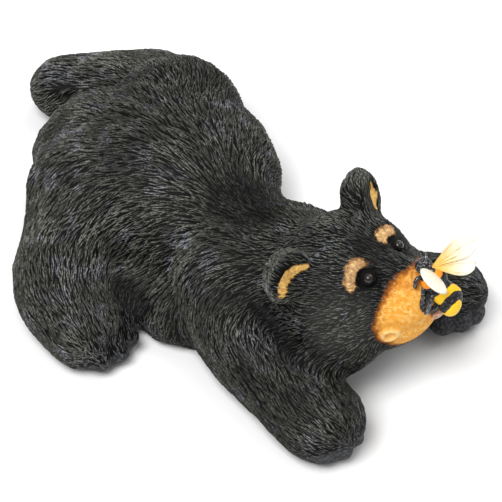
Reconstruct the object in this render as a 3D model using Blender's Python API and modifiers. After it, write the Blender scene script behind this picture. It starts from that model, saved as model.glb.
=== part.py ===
"""Bear cub with a bee on its nose: a cast resin figurine that lies on its belly.

The bear faces -Y, its right side is at -X and its flat underside is at z = 0.
Run with: blender --background --python part.py
"""

import math

import bmesh
import bpy
from mathutils import Matrix, Vector, noise

# The free form is drawn 215 mm long, from the hind foot to the bee, and MM scales it
FIGURE_LENGTH = 0.215
FORM_LENGTH = 215
MM = FIGURE_LENGTH / FORM_LENGTH

# Fineness of the skins, and how many triangles the solids keep
BODY_VOXEL = 1.5 * MM
DETAIL_VOXEL = 0.9 * MM
BEE_VOXEL = 0.3 * MM
BEAR_TRIANGLES = 7800
BEE_TRIANGLES = 1500
FINE_CARVING = 2e-6

# The bee is cast apart and glued on, so its solid keeps this clear of the bear
GLUE_GAP = 0.0003

# Head: its own frame has -Y along the muzzle and Z through the crown
HEAD_CENTRE = (-12.5, -53, 32)
HEAD_YAW = 5
HEAD_PITCH = 28

# Carved coat: broad locks that follow the limbs
LOCK_WIDTH = 5.0
LOCK_LENGTH = 18.0
LOCK_DEPTH = 1.4
LOCK_SAMPLES = 7

# Bee: where its thorax is, and how it faces up the muzzle towards the bear's eyes
BEE_CENTRE = (-9.4, -86.7, 55.1)
BEE_YAW = 177
BEE_PITCH = 53
WING_THICKNESS = 1.5


def place(point):
    """A point of the free form, in metres."""
    return Vector(point) * MM


def heading(yaw=0.0, pitch=0.0, roll=0.0):
    """Axes of a shape whose own -Y points forward: yaw to its left, nose up, right side down."""
    turn = Matrix.Rotation(math.radians(yaw), 4, "Z")
    turn = turn @ Matrix.Rotation(math.radians(-pitch), 4, "X")
    return turn @ Matrix.Rotation(math.radians(roll), 4, "Y")


HEAD = Matrix.Translation(place(HEAD_CENTRE)) @ heading(HEAD_YAW, HEAD_PITCH)
BEE = Matrix.Translation(place(BEE_CENTRE)) @ heading(BEE_YAW, BEE_PITCH)


def ball(centre, radii, axes=None, frame=None, fineness=4):
    """An ellipsoid of the form, turned by axes and set in a frame of its own if it has one."""
    bpy.ops.mesh.primitive_ico_sphere_add(subdivisions=fineness, radius=1.0)
    shape = bpy.context.object
    local = Matrix.Translation(place(centre)) @ (axes or Matrix.Identity(4))
    local = local @ Matrix.Diagonal((*[r * MM for r in radii], 1.0))
    shape.data.transform((frame or Matrix.Identity(4)) @ local)
    return shape


def smooth_route(stations, steps=6):
    """A Catmull-Rom route through stations of (centre, radius), as (x, y, z, radius)."""
    knots = [Vector((*centre, radius)) for centre, radius in stations]
    knots = [knots[0] * 2 - knots[1], *knots, knots[-1] * 2 - knots[-2]]
    route = []
    for before, start, end, after in zip(knots, knots[1:], knots[2:], knots[3:]):
        for step in range(steps):
            t = step / steps
            slope = (end - before) * t
            bend = (before * 2 - start * 5 + end * 4 - after) * t * t
            twist = (start * 3 - before - end * 3 + after) * t ** 3
            route.append(start + (slope + bend + twist) / 2)
    return [*route, knots[-2]]


def tube(stations, frame=None, squash=1.0, roundness=6):
    """A round tube through stations of (centre, radius), with a ball at each end."""
    curve = bpy.data.curves.new("tube", "CURVE")
    curve.dimensions = "3D"
    curve.bevel_depth = MM
    curve.bevel_resolution = roundness
    curve.use_fill_caps = True
    route = smooth_route([((x, y, z / squash), radius) for (x, y, z), radius in stations])
    line = curve.splines.new("POLY")
    line.points.add(len(route) - 1)
    for point, knot in zip(line.points, route):
        point.co = (*place(knot[:3]), 1.0)
        point.radius = knot[3]
    guide = bpy.data.objects.new("tube", curve)
    bpy.context.scene.collection.objects.link(guide)
    graph = bpy.context.evaluated_depsgraph_get()
    mesh = bpy.data.meshes.new_from_object(guide.evaluated_get(graph))
    bpy.data.objects.remove(guide)
    shape = bpy.data.objects.new("tube", mesh)
    bpy.context.scene.collection.objects.link(shape)
    weld(mesh)
    ends = [ball(knot[:3], (knot[3],) * 3, fineness=3) for knot in (route[0], route[-1])]
    whole = join([shape, *ends])
    whole.data.transform((frame or Matrix.Identity(4)) @ Matrix.Diagonal((1, 1, squash, 1)))
    return whole


def weld(mesh):
    """Merges the loose caps of a curve's mesh."""
    shell = bmesh.new()
    shell.from_mesh(mesh)
    bmesh.ops.remove_doubles(shell, verts=shell.verts, dist=0.01 * MM)
    bmesh.ops.recalc_face_normals(shell, faces=shell.faces)
    shell.to_mesh(mesh)
    shell.free()


def join(shapes):
    """One object that holds all the shapes' meshes."""
    bpy.ops.object.select_all(action="DESELECT")
    for shape in shapes:
        shape.select_set(True)
    bpy.context.view_layer.objects.active = shapes[0]
    bpy.ops.object.join()
    return shapes[0]


def apply_modifiers(shape):
    """Replaces a shape's mesh by its evaluated one."""
    graph = bpy.context.evaluated_depsgraph_get()
    mesh = bpy.data.meshes.new_from_object(shape.evaluated_get(graph))
    shape.modifiers.clear()
    shape.data = mesh


def melt(shapes, voxel, rounds, strength=0.6):
    """Fuses shapes into one skin and softens the creases where they meet."""
    whole = join(shapes)
    skin = whole.modifiers.new("skin", "REMESH")
    skin.mode = "VOXEL"
    skin.voxel_size = voxel
    soften = whole.modifiers.new("soften", "SMOOTH")
    soften.factor = strength
    soften.iterations = rounds
    apply_modifiers(whole)
    return whole


def carve(shape, cutters):
    """Cuts the cutters out of the shape."""
    for cutter in cutters:
        cut = shape.modifiers.new("cut", "BOOLEAN")
        cut.operation = "DIFFERENCE"
        cut.object = cutter
        apply_modifiers(shape)
        bpy.data.objects.remove(cutter)


def thin_out(shape, triangles, plain=None):
    """Keeps about this many triangles, and most of them where the plain function is low."""
    fewer = shape.modifiers.new("fewer", "DECIMATE")
    fewer.use_collapse_triangulate = True
    fewer.ratio = triangles / sum(len(face.vertices) - 2 for face in shape.data.polygons)
    if plain:
        group = shape.vertex_groups.new(name="plain")
        for vertex in shape.data.vertices:
            group.add([vertex.index], plain(vertex.co), "REPLACE")
        fewer.vertex_group = group.name
        fewer.vertex_group_factor = FINE_CARVING
    apply_modifiers(shape)


def trunk():
    """Rump, belly, back and neck as one tube, flatter than it is wide."""
    spine = [
        ((-10, 56, 18), 31),
        ((-7, 46, 19), 39),
        ((-7, 28, 18), 41),
        ((-13.6, 6, 18), 30.7),
        ((-15.6, -14, 20), 25.6),
        ((-14, -34, 27), 23),
        ((-13, -48, 32), 21),
    ]
    rump = ball((-16, 52, 16), (31, 27, 27))
    flank = ball((-33.5, -2, 8), (24, 21.5, 16))
    fold = ball((-50, 19, 7), (13, 16, 12))
    return [tube(spine, squash=0.78), rump, flank, fold]


ARMS = (
    [((-28, -12, 22), 20), ((-38.5, -22, 16), 16.6), ((-47.8, -44.5, 13), 14.2), ((-51.9, -75, 11.5), 15.1)],
    [((-2, -20, 17), 18), ((9, -38, 13), 15), ((14.5, -57, 11), 13), ((22.8, -72.6, 11), 13.8)],
)
LEGS = (
    [((-28, 50, 20), 25), ((-47, 44, 16), 18.5), ((-67, 32, 12), 16.5), ((-73, 15, 10), 14.4)],
    [((18, 51, 19), 26), ((27, 71, 15), 17), ((18, 90, 13), 13.7), ((9, 101, 12), 12.5)],
)
SPINE = [((-12, -48, 40), 1), ((-14, -20, 34), 1), ((-10, 20, 40), 1), ((-10, 60, 36), 1), ((-14, 84, 14), 1)]

# Each foot: its centre, the way it points, and its toes
FEET = (
    ((-51, -74.6), 184, 4),
    ((21.4, -72), 175, 4),
    ((-69.9, 12.2), 195, 4),
    ((13, 100), -10, 3),
)
TOE_RADIUS = 4.8
TOE_REACH = 10.8
TOE_ARC = 105


def toes():
    """Round toes in an arc at the front of each foot."""
    shapes = []
    for (x, y), way, count in FEET:
        for index in range(count):
            angle = math.radians(way + TOE_ARC * (index / (count - 1) - 0.5))
            centre = (x - TOE_REACH * math.sin(angle), y + TOE_REACH * math.cos(angle), 6.5)
            shapes.append(ball(centre, (TOE_RADIUS, TOE_RADIUS, TOE_RADIUS * 1.15), fineness=3))
    return shapes


def skull():
    """Skull, bridge, cheeks and jaw, in the head's own frame."""
    bridge = tube([((0, -8, 10), 12), ((0, -22, 6), 9.5), ((0, -31, 1.5), 8)], frame=HEAD)
    shapes = [bridge, ball((0, 0, 0), (27, 26, 25), frame=HEAD)]
    shapes.append(ball((0, -16, -8), (17, 18, 14), frame=HEAD))
    shapes += [ball((side * 14, -3, -10), (16, 17, 15), frame=HEAD) for side in (-1, 1)]
    return shapes


def muzzle():
    """The broad muzzle, its chin, brows, nose and ears."""
    shapes = [ball((0, -22, -3), (15.5, 15.5, 14), frame=HEAD)]
    shapes.append(ball((0, -28.5, -2.5), (12.5, 9.5, 11.5), frame=HEAD))
    shapes.append(ball((0, -25, -11), (10.5, 9, 6.5), frame=HEAD))
    shapes.append(ball((0, -36.6, -3), (6, 3.4, 5), frame=HEAD))
    for side in (-1, 1):
        shapes.append(ball((side * 9.5, -13.5, 13), (7, 8, 6), frame=HEAD))
        shapes.append(ball((0, 0, 0), (9.7, 7, 9.7), frame=ear_frame(side)))
    return shapes


def ear_frame(side):
    """The frame of one ear: -Y out of its hollow and Z to its tip."""
    return HEAD @ Matrix.Translation(place((side * 22.4, -0.8, 20.8))) @ heading(side * 20, 0, side * 30)


def press(shape, stations, depth, frame=None):
    """Dents a skin along a route, where it is within a station's radius of it."""
    frame = frame or Matrix.Identity(4)
    route = [(frame @ place(knot[:3]), knot[3] * MM) for knot in smooth_route(stations)]
    reach = max(radius for _, radius in route)
    middle = sum((centre for centre, _ in route), Vector()) / len(route)
    span = max((centre - middle).length for centre, _ in route) + reach
    normals = [vertex.normal.copy() for vertex in shape.data.vertices]
    for vertex, normal in zip(shape.data.vertices, normals):
        if (vertex.co - middle).length > span:
            continue
        near = min((vertex.co - centre).length / radius for centre, radius in route)
        if near < 1:
            vertex.co -= normal * depth * MM * (1 - near * near) ** 2


def face(shape):
    """Eye sockets, the hollows of the ears, nostrils and the line of the mouth."""
    lip = [((0, -38, -8), 2.2), ((3, -36.5, -9.5), 2.0), ((8, -32, -11), 2.0), ((12.5, -24, -10.5), 2.4)]
    for side in (-1, 1):
        mirror = HEAD @ Matrix.Diagonal((side, 1, 1, 1))
        press(shape, [((9.2, -24, 11), 5.5), ((9.4, -24, 11), 5.5)], 1.7, mirror)
        press(shape, [((0, -6.5, 0.5), 8.5), ((0, -6.5, -0.5), 8.5)], 5, ear_frame(side))
        press(shape, [((2.6, -39.8, -3.2), 1.7), ((2.8, -39.8, -3.2), 1.7)], 1.0, mirror)
        press(shape, lip, 1.3, mirror)


def toe_gaps(shape):
    """Grooves between the toes, from the top of each foot down its front."""
    for (x, y), way, count in FEET:
        for index in range(count - 1):
            angle = math.radians(way + TOE_ARC * ((index + 0.5) / (count - 1) - 0.5))
            groove = []
            for reach, height in ((9.5, 15), (13.5, 11), (15.5, 5), (15.5, 0)):
                groove.append(((x - reach * math.sin(angle), y + reach * math.cos(angle), height), 2.4))
            press(shape, groove, 1.8)


def plainness(point):
    """One on the back and limbs, and low on the face, the ears and the toes."""
    spots = [(HEAD @ place((side * 22, 0, 20)), 10) for side in (-1, 1)]
    spots.append((HEAD @ place((0, -26, 2)), 22))
    spots += [(place((x, y, 6)), 17) for (x, y), _, _ in FEET]
    return min(1.0, min((point - centre).length / (reach * MM) for centre, reach in spots))


def nearest_way(point, guides):
    """Which way the coat runs at a point: along the nearest guides, from head to rump and to the feet."""
    way = Vector()
    for start, end, weight in guides:
        along = end - start
        share = max(0.0, min(1.0, (point - start).dot(along) / along.length_squared))
        gap = (point - start - along * share).length / weight
        way += along.normalized() / (gap / MM + 1) ** 4
    return way


def coat_guides():
    """The straight runs that the coat follows, each with the girth of what it runs along."""
    guides = []
    for stations in (SPINE, *ARMS, *LEGS):
        route = smooth_route(stations, 3)
        for start, end in zip(route, route[1:]):
            guides.append((place(start[:3]), place(end[:3]), 1.0))
    crown = HEAD @ place((0, -24, 10))
    nape = HEAD @ place((0, 20, 14))
    guides.append((crown, nape, 1.3))
    for side in (-1, 1):
        guides.append((HEAD @ place((side * 14, -18, -6)), HEAD @ place((side * 18, 12, -8)), 1.0))
    return guides


def comb(shape):
    """Carves the coat's locks: noise drawn out along the way the coat runs."""
    guides = coat_guides()
    bare = HEAD @ place((0, -30, -3))
    normals = [vertex.normal.copy() for vertex in shape.data.vertices]
    for vertex, normal in zip(shape.data.vertices, normals):
        point = vertex.co.copy()
        if point.z < -2 * MM:
            continue
        way = nearest_way(point, guides)
        way -= normal * way.dot(normal)
        if way.length < 1e-9:
            continue
        step = way.normalized() * LOCK_LENGTH * MM / LOCK_SAMPLES
        height = 0.0
        for sample in range(LOCK_SAMPLES):
            spot = point + step * (sample - (LOCK_SAMPLES - 1) / 2)
            height += noise.noise(spot / (LOCK_WIDTH * MM)) / LOCK_SAMPLES
        clothed = min(1.0, max(0.0, ((point - bare).length / MM - 15) / 6))
        vertex.co = point + normal * height * 2 * LOCK_DEPTH * MM * clothed


def flat_base(shape):
    """Cuts the casting flat on the ground."""
    bpy.ops.mesh.primitive_cube_add(size=1.0)
    ground = bpy.context.object
    ground.data.transform(Matrix.Translation((0, 0, -0.5)))
    carve(shape, [ground])


def union(shape, others):
    """Adds the others to the shape."""
    for other in others:
        add = shape.modifiers.new("add", "BOOLEAN")
        add.operation = "UNION"
        add.object = other
        apply_modifiers(shape)
        bpy.data.objects.remove(other)


def bear():
    limbs = [tube(stations) for stations in (*ARMS, *LEGS)]
    body = melt(trunk() + limbs + skull(), BODY_VOXEL, 8)
    body = melt([body, *muzzle(), *toes()], DETAIL_VOXEL, 4)
    face(body)
    comb(body)
    toe_gaps(body)
    thin_out(body, BEAR_TRIANGLES, plainness)
    eyes = [ball((side * 9.1, -22.6, 11), (2.4, 2.4, 2.4), frame=HEAD, fineness=2) for side in (-1, 1)]
    union(body, eyes)
    flat_base(body)
    body.name = "bear"
    return body


def wing(root, tip, breadth, normal):
    """One flat wing, from its root to its tip."""
    along = Vector(tip) - Vector(root)
    centre = Vector(root) + along * 0.52
    forward = along.normalized()
    across = Vector(normal).cross(forward).normalized()
    axes = Matrix((forward, across, forward.cross(across))).transposed().to_4x4()
    return ball(centre, (along.length * 0.52, breadth / 2, WING_THICKNESS / 2), axes=axes, frame=BEE, fineness=3)


# Bee: each leg's hip, knee and foot, the three of the right side first
BEE_LEGS = (
    ((-2.2, -2.6, -1.5), (-4.6, -4.0, -1.5), (-5.4, -2.5, -6.0)),
    ((-2.4, 0.0, -1.5), (-5.0, 0.5, -1.2), (-5.6, 1.0, -6.0)),
    ((-3.5, 4.0, -1.0), (-6.4, 5.0, -1.5), (-6.8, 7.0, -6.0)),
    ((2.2, -2.6, -1.5), (4.4, -4.0, -1.8), (5.1, -0.5, -3.3)),
    ((2.4, 0.3, -1.5), (4.8, 2.6, -1.9), (4.9, 6.0, -3.1)),
    ((1.5, 3.5, -0.6), (4.6, 5.0, -0.8), (6.0, 9.6, -3.6)),
)


def bee():
    """The bee in its own frame: -Y towards its head, Z out of its back."""
    abdomen = [((-1.5, 3.5, 0.6), 3.8), ((-3.2, 8, 1.4), 4.9), ((-2.3, 11.4, 1.8), 4.4), ((-1.5, 14.2, 1.6), 2.9)]
    shapes = [
        ball((0, 0, 0), (4.2, 4.6, 3.9), frame=BEE),
        ball((0, -6.0, -0.4), (3.1, 2.8, 2.8), frame=BEE),
        tube(abdomen, frame=BEE),
    ]
    near, far = (9.1, -2.5, 10.3), (-15.8, -8.0, 12.4)
    shapes.append(wing((-0.6, -0.6, 3.6), near, 12.4, (-0.57, -0.4, 0.71)))
    for tip, breadth in ((far, 9), ((-11.8, 0.8, 10.7), 8)):
        shapes.append(wing((-1.5, -2, 2), tip, breadth, Vector(far).cross(Vector((-11.8, 0.8, 10.7)))))
    for hip, knee, foot in BEE_LEGS:
        shapes.append(tube([(hip, 0.9), (knee, 0.8), (foot, 0.7)], frame=BEE, roundness=2))
    for side in (-1, 1):
        feeler = [((side, -7.6, 0.8), 0.55), ((side * 1.9, -8.8, 1.0), 0.5), ((side * 2.3, -9.4, 0.2), 0.5)]
        shapes.append(tube(feeler, frame=BEE, roundness=2))
    insect = melt(shapes, BEE_VOXEL, 2)
    thin_out(insect, BEE_TRIANGLES)
    insect.name = "bee"
    return insect


def grow(shape, by):
    """A copy of a shape with its skin moved outwards."""
    copy = bpy.data.objects.new("grown", shape.data.copy())
    bpy.context.scene.collection.objects.link(copy)
    for vertex, source in zip(copy.data.vertices, shape.data.vertices):
        vertex.co += source.normal * by
    return copy


def clear():
    for thing in list(bpy.data.objects):
        bpy.data.objects.remove(thing)


def finish(shape, collection, colour, roughness):
    """Shades a piece smooth, gives it its paint and files it in the object's collection."""
    shape.data.shade_smooth()
    shape.vertex_groups.clear()
    paint = bpy.data.materials.new(shape.name + "_paint")
    paint.use_nodes = True
    shader = paint.node_tree.nodes["Principled BSDF"]
    shader.inputs["Base Color"].default_value = (*colour, 1.0)
    shader.inputs["Roughness"].default_value = roughness
    shader.inputs["Metallic"].default_value = 0.0
    shape.data.materials.clear()
    shape.data.materials.append(paint)
    for other in list(shape.users_collection):
        other.objects.unlink(shape)
    collection.objects.link(shape)


def stand_on_origin(shapes):
    """Moves the pieces so that the ground under the middle of their box is the origin."""
    corners = [vertex.co for shape in shapes for vertex in shape.data.vertices]
    middle = Vector()
    for axis in (0, 1):
        across = [corner[axis] for corner in corners]
        middle[axis] = (min(across) + max(across)) / 2
    for shape in shapes:
        shape.data.transform(Matrix.Translation(-middle))
    print("The free form's origin is now at", [round(-value / MM, 2) for value in middle])


def main():
    clear()
    figurine = bpy.data.collections.new("bear_with_bee")
    bpy.context.scene.collection.children.link(figurine)
    cub = bear()
    insect = bee()
    carve(insect, [grow(cub, GLUE_GAP)])
    finish(cub, figurine, (0.035, 0.035, 0.032), 0.55)
    finish(insect, figurine, (0.9, 0.45, 0.02), 0.4)
    stand_on_origin([cub, insect])


main()
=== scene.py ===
# %% [markdown]
# # A cast bear cub with a bee on its nose
#
# The figurine is a resin casting, about a hand long, of a black bear cub on its belly.
# A sculptor carves such a coat into the master as thousands of short combed locks, and
# a painter sprays the casting black, then drags a nearly dry brush of grey over it, so
# that only the crests of the locks take the light colour.
#
# This lesson dresses the plain solids of the figurine in the same order: first the
# bare skin, then the locks, then the small modelled pieces, and the paint at the end.

import math

import bmesh
import bpy
import numpy as np
from mathutils import Matrix, Vector, noise
from mathutils.bvhtree import BVHTree
from mathutils.kdtree import KDTree


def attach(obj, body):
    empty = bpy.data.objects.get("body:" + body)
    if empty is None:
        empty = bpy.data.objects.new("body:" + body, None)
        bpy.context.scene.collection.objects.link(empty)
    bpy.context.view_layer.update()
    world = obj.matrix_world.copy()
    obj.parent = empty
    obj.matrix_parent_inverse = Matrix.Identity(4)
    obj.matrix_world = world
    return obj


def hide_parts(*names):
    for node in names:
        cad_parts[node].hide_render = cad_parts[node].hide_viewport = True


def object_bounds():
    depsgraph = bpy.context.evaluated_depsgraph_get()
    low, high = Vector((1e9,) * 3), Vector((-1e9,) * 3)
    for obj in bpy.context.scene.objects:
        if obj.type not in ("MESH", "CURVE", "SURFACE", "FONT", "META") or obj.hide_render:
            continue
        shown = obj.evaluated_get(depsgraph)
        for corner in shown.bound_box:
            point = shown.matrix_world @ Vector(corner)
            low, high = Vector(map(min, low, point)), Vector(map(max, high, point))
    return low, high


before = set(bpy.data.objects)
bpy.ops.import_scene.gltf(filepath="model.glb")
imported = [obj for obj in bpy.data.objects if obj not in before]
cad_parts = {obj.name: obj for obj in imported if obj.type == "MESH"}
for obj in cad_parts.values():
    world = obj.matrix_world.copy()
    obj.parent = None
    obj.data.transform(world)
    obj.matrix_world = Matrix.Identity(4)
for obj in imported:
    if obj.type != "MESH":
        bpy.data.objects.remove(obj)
solid_low, solid_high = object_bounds()
MM = 0.001
print("the solids are", [round(side / MM, 1) for side in solid_high - solid_low], "mm")

# %% [markdown]
# ## Camera
#
# The photograph looks down at the bear's right side from well above, through a long
# lens, so nothing is strongly foreshortened. One of its pixels is 0.364 mm wide at the
# figurine. The lens follows from that, the distance and the width of the sensor.

# %% Place the camera
FORM_ORIGIN = Vector((21.84, -8.06, 0)) * MM
PHOTO_SIDE = 502
PIXEL = 0.364 * MM
DISTANCE = 1.0
AZIMUTH = math.radians(-50)
ELEVATION = math.radians(48)


def in_scene(name, data):
    """A new object in the scene."""
    made = bpy.data.objects.new(name, data)
    bpy.context.scene.collection.objects.link(made)
    return made


lens = bpy.data.cameras.new("long_lens")
lens.sensor_width = 36
lens.lens = lens.sensor_width * DISTANCE / (PHOTO_SIDE * PIXEL)
camera = in_scene("photographer", lens)
towards = Vector((
    math.sin(AZIMUTH) * math.cos(ELEVATION),
    -math.cos(AZIMUTH) * math.cos(ELEVATION),
    math.sin(ELEVATION),
))
camera.location = FORM_ORIGIN + towards * DISTANCE
camera.rotation_euler = (-towards).to_track_quat("-Z", "Y").to_euler()
bpy.context.scene.camera = camera
print("focal length", round(lens.lens, 1), "mm")

# %% [markdown]
# ## The head's own frame
#
# The head is turned and tipped up. Eyes, nose and paint lines are far easier to place
# in a frame that turns with it: X towards the bear's left ear, minus Y along the
# muzzle and Z out of the crown, in millimetres from the middle of the skull.

# %% Set up the head's frame
def turned(yaw, pitch, roll=0.0):
    """Yaw to the left, then nose up, then roll, all in degrees."""
    turn = Matrix.Rotation(math.radians(yaw), 4, "Z")
    turn = turn @ Matrix.Rotation(math.radians(-pitch), 4, "X")
    return turn @ Matrix.Rotation(math.radians(roll), 4, "Y")


def frame_at(centre, yaw, pitch):
    """A frame in the form, for points in millimetres."""
    place = Matrix.Translation(FORM_ORIGIN + Vector(centre) * MM)
    return place @ turned(yaw, pitch) @ Matrix.Scale(MM, 4)


HEAD = frame_at((-12.5, -53, 32), 5, 28)
FORM = Matrix.Translation(FORM_ORIGIN) @ Matrix.Scale(MM, 4)
EYE = (9.1, -22.6, 11)


def seen_in(space, points):
    """World points as rows of x, y and z in a frame."""
    inverse = np.array(space.inverted())
    return points @ inverse[:3, :3].T + inverse[:3, 3]


print("the head's middle is at", [round(value, 4) for value in HEAD.translation])

# %% [markdown]
# ## Bare skin
#
# The solid is a coarse shell of flat triangles. A copy of it is merged, rounded with
# one level of subdivision, then rebuilt as an even fine net by a voxel remesh and
# relaxed. That keeps the form and gives a skin which has no facets left to see.

# %% Helpers for pieces
def add_piece(name, mesh):
    """A finished piece that goes with the casting."""
    piece = in_scene(name, mesh)
    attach(piece, "root")
    return piece


def evaluated(piece):
    """A piece with its modifiers worked out."""
    return piece.evaluated_get(bpy.context.evaluated_depsgraph_get())


def bake(piece):
    """Makes a piece's modifiers part of its mesh."""
    mesh = bpy.data.meshes.new_from_object(evaluated(piece))
    piece.modifiers.clear()
    piece.data = mesh


def read_points(mesh):
    points = np.empty(len(mesh.vertices) * 3)
    mesh.vertices.foreach_get("co", points)
    return points.reshape(-1, 3)


def write_points(mesh, points):
    mesh.vertices.foreach_set("co", np.asarray(points, np.float32).ravel())
    mesh.update()


def read_normals(mesh):
    normals = np.empty(len(mesh.vertices) * 3)
    mesh.vertex_normals.foreach_get("vector", normals)
    return normals.reshape(-1, 3)


def shell_of(mesh):
    """A mesh opened for modelling."""
    shell = bmesh.new()
    shell.from_mesh(mesh)
    return shell


def close_shell(shell, mesh):
    """Writes a modelled shape into a mesh."""
    shell.to_mesh(mesh)
    shell.free()
    return mesh


def triangle_count(mesh):
    mesh.calc_loop_triangles()
    return len(mesh.loop_triangles)


# %% Make the bare skin
SKIN_NET = 0.95 * MM


def bare_skin():
    shell = shell_of(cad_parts["bear"].data)
    bmesh.ops.remove_doubles(shell, verts=shell.verts, dist=0.001 * MM)
    mesh = close_shell(shell, bpy.data.meshes.new("bear_skin"))
    skin = add_piece("bear_skin", mesh)
    rounding = skin.modifiers.new("rounding", "SUBSURF")
    rounding.levels = 1
    rounding.render_levels = 1
    net = skin.modifiers.new("net", "REMESH")
    net.mode = "VOXEL"
    net.voxel_size = SKIN_NET
    relax = skin.modifiers.new("relax", "SMOOTH")
    relax.factor = 0.5
    relax.iterations = 5
    bake(skin)
    return skin


skin = bare_skin()
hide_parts("bear")
print("skin:", triangle_count(skin.data), "triangles")

# %% [markdown]
# ## The lines of the face
#
# A few things are sharper than the solid shows them: the line of the mouth, the small
# oval lobe that ends it at each corner, and the sockets of the eyes. They are worked
# into the bare skin, as a modelling tool would do in clay, by moving its points in or
# out by an amount that depends on how far they are from the line or the spot.

# %% Work the lines into the skin
MOUTH = ((0, -38.5, -8.5), (3, -37, -9.6), (8, -32.5, -11.2), (9.5, -30.8, -11.5))
LOBE = (14.3, -26.4, -9.7)
# The lobe is an oval, longer along the muzzle
LOBE_SHAPE = (1, 1.8, 1)
FINE_REACH = 4.5


def gap_to(points, route):
    """How far points are from a route, in the units of both."""
    gap = np.full(len(points), 1e9)
    for start, end in zip(np.array(route, float), np.array(route[1:], float)):
        along = end - start
        share = np.clip((points - start) @ along / (along @ along), 0, 1)
        gap = np.minimum(gap, np.linalg.norm(points - start - share[:, None] * along, axis=1))
    return gap


def face_distances(points):
    """How far points are from the mouth's line, a lobe and an eye, in millimetres."""
    x, y, z = seen_in(HEAD, points).T
    folded = np.stack((np.abs(x), y, z), axis=1)
    mouth = gap_to(folded, MOUTH)
    lobe = np.linalg.norm((folded - LOBE) / LOBE_SHAPE, axis=1)
    return mouth, lobe, np.linalg.norm(folded - EYE, axis=1)


def bell(distance, middle, spread):
    return np.exp(-(((distance - middle) / spread) ** 2))


def refine_face(mesh):
    """Halves the edges near the lines, so that the net can follow them."""
    shell = shell_of(mesh)
    near = np.min(face_distances(read_points(mesh)), axis=0) < FINE_REACH
    edges = [edge for edge in shell.edges if near[edge.verts[0].index] and near[edge.verts[1].index]]
    bmesh.ops.subdivide_edges(shell, edges=edges, cuts=1, use_grid_fill=True)
    bmesh.ops.triangulate(shell, faces=[face for face in shell.faces if len(face.verts) > 4])
    close_shell(shell, mesh)


refine_face(skin.data)
mouth, lobe, eye = face_distances(read_points(skin.data))
swell = 0.7 * bell(lobe, 2.1, 0.9) - 1.2 * bell(lobe, 0, 1.0) - 0.3 * bell(lobe, 4.0, 0.8)
swell -= 1.1 * bell(mouth, 0, 0.8) + 0.7 * bell(eye, 2.6, 1.2)
write_points(skin.data, read_points(skin.data) + read_normals(skin.data) * (swell * MM)[:, None])
print("the face moved by", round(float(np.abs(swell).max()), 2), "mm at most")

# %% [markdown]
# ## Where the paint and the coat change
#
# The muzzle is tan and closely stippled, two tan patches sit over the eyes, and the
# ears have an ochre lining. Each of these is a soft mask: a number from nought to one
# for every point, worked out from where the point is in the head's frame. The masks
# choose the colour of the paint, and some of them the size of the locks or the places
# that have none, so that paint and coat agree.

# %% Masks
def ramp(values, start, end):
    """A smooth step from nought at start to one at end."""
    share = np.clip((values - start) / (end - start), 0, 1)
    return share * share * (3 - 2 * share)


def read_off(table, place):
    """The value at a place, between the rows of a table of places and values."""
    places, values = zip(*table)
    return np.interp(place, places, values)


# How far back the tan of the muzzle reaches at each height
MUZZLE_EDGE = ((-14, -23.0), (-9, -22.0), (-4, -22.6), (0, -25.2), (3, -26.8), (7.6, -28.4), (11.5, -31.0))


def muzzle_mask(points):
    """The tan muzzle, which is cut back in a notch on the dark bridge of the nose."""
    x, y, z = seen_in(HEAD, points).T
    edge = read_off(MUZZLE_EDGE, z) - 3.4 * bell(x, 3, 6) * ramp(z, 4, 9)
    lobe = face_distances(points)[1]
    inside = ramp(edge - y, -3.4, 4.2) * ramp(z, -19, -16)
    # The hollow in each lobe is painted deeper, as painted shade
    return inside * (1 - 0.4 * ramp(lobe, 1.3, 0.6)) * (1 - 0.35 * ramp(z, 0, 7))


def brow_mask(points):
    """A crescent above and outside each eye."""
    x, y, z = seen_in(HEAD, points).T
    out, over = np.abs(x) - EYE[0], z - EYE[2]
    ring = np.hypot(out, over)
    turn = np.degrees(np.arctan2(over, out))
    band = ramp(ring, 3.1, 4.4) * ramp(ring, 7.6, 5.7)
    start = np.where(x > 0, 12, -34)
    return band * ramp(turn, start, start + 34) * ramp(turn, 150, 112) * ramp(y, -15.2, -17.4)


def ear_frame(side):
    """The ear's own frame: X outwards, minus Y out of the hollow, Z to the tip."""
    return HEAD @ Matrix.Translation((side * 22.4, -0.8, 20.8)) @ turned(side * 20, 0, side * 30)


# The painted arc of each ear's lining: outwards, up and half its width
LININGS = {
    -1: ((6.8, 1.0, 1.2), (3.5, 2.0, 1.9), (0.0, 1.7, 2.1), (-3.0, 0.4, 1.7), (-6.0, -2.6, 0.9)),
    1: ((1.7, 4.0, 0.5), (3.2, 0.0, 1.5), (1.3, -4.9, 0.6)),
}


def ear_mask(points):
    """The lining: a stroke of the brush along its arc in each ear's hollow."""
    mask = np.zeros(len(points))
    for side, arc in LININGS.items():
        x, y, z = seen_in(ear_frame(side), points).T
        spots = np.stack((x * side, z), axis=1)
        for start, end in zip(np.array(arc), np.array(arc[1:])):
            along = (end - start)[:2]
            share = np.clip((spots - start[:2]) @ along / (along @ along), 0, 1)
            gap = np.linalg.norm(spots - start[:2] - share[:, None] * along, axis=1)
            width = start[2] + share * (end[2] - start[2])
            mask = np.maximum(mask, ramp(gap - width, 0.35, -0.35) * ramp(y, 0.5, -0.5))
    return mask


# How much smaller the black socket and the bare rim of the left eye are
LEFT_SOCKET = 1.1
LEFT_RIM = 0.6


def hollow_mask(points):
    """Where the paint stays black and bare: the line of the mouth and the sockets."""
    mouth, _, eye = face_distances(points)
    left = seen_in(HEAD, points)[:, 0] > 0
    return np.maximum(ramp(mouth, 1.2, 0.5), ramp(eye + LEFT_SOCKET * left, 4.3, 3.2))


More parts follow.
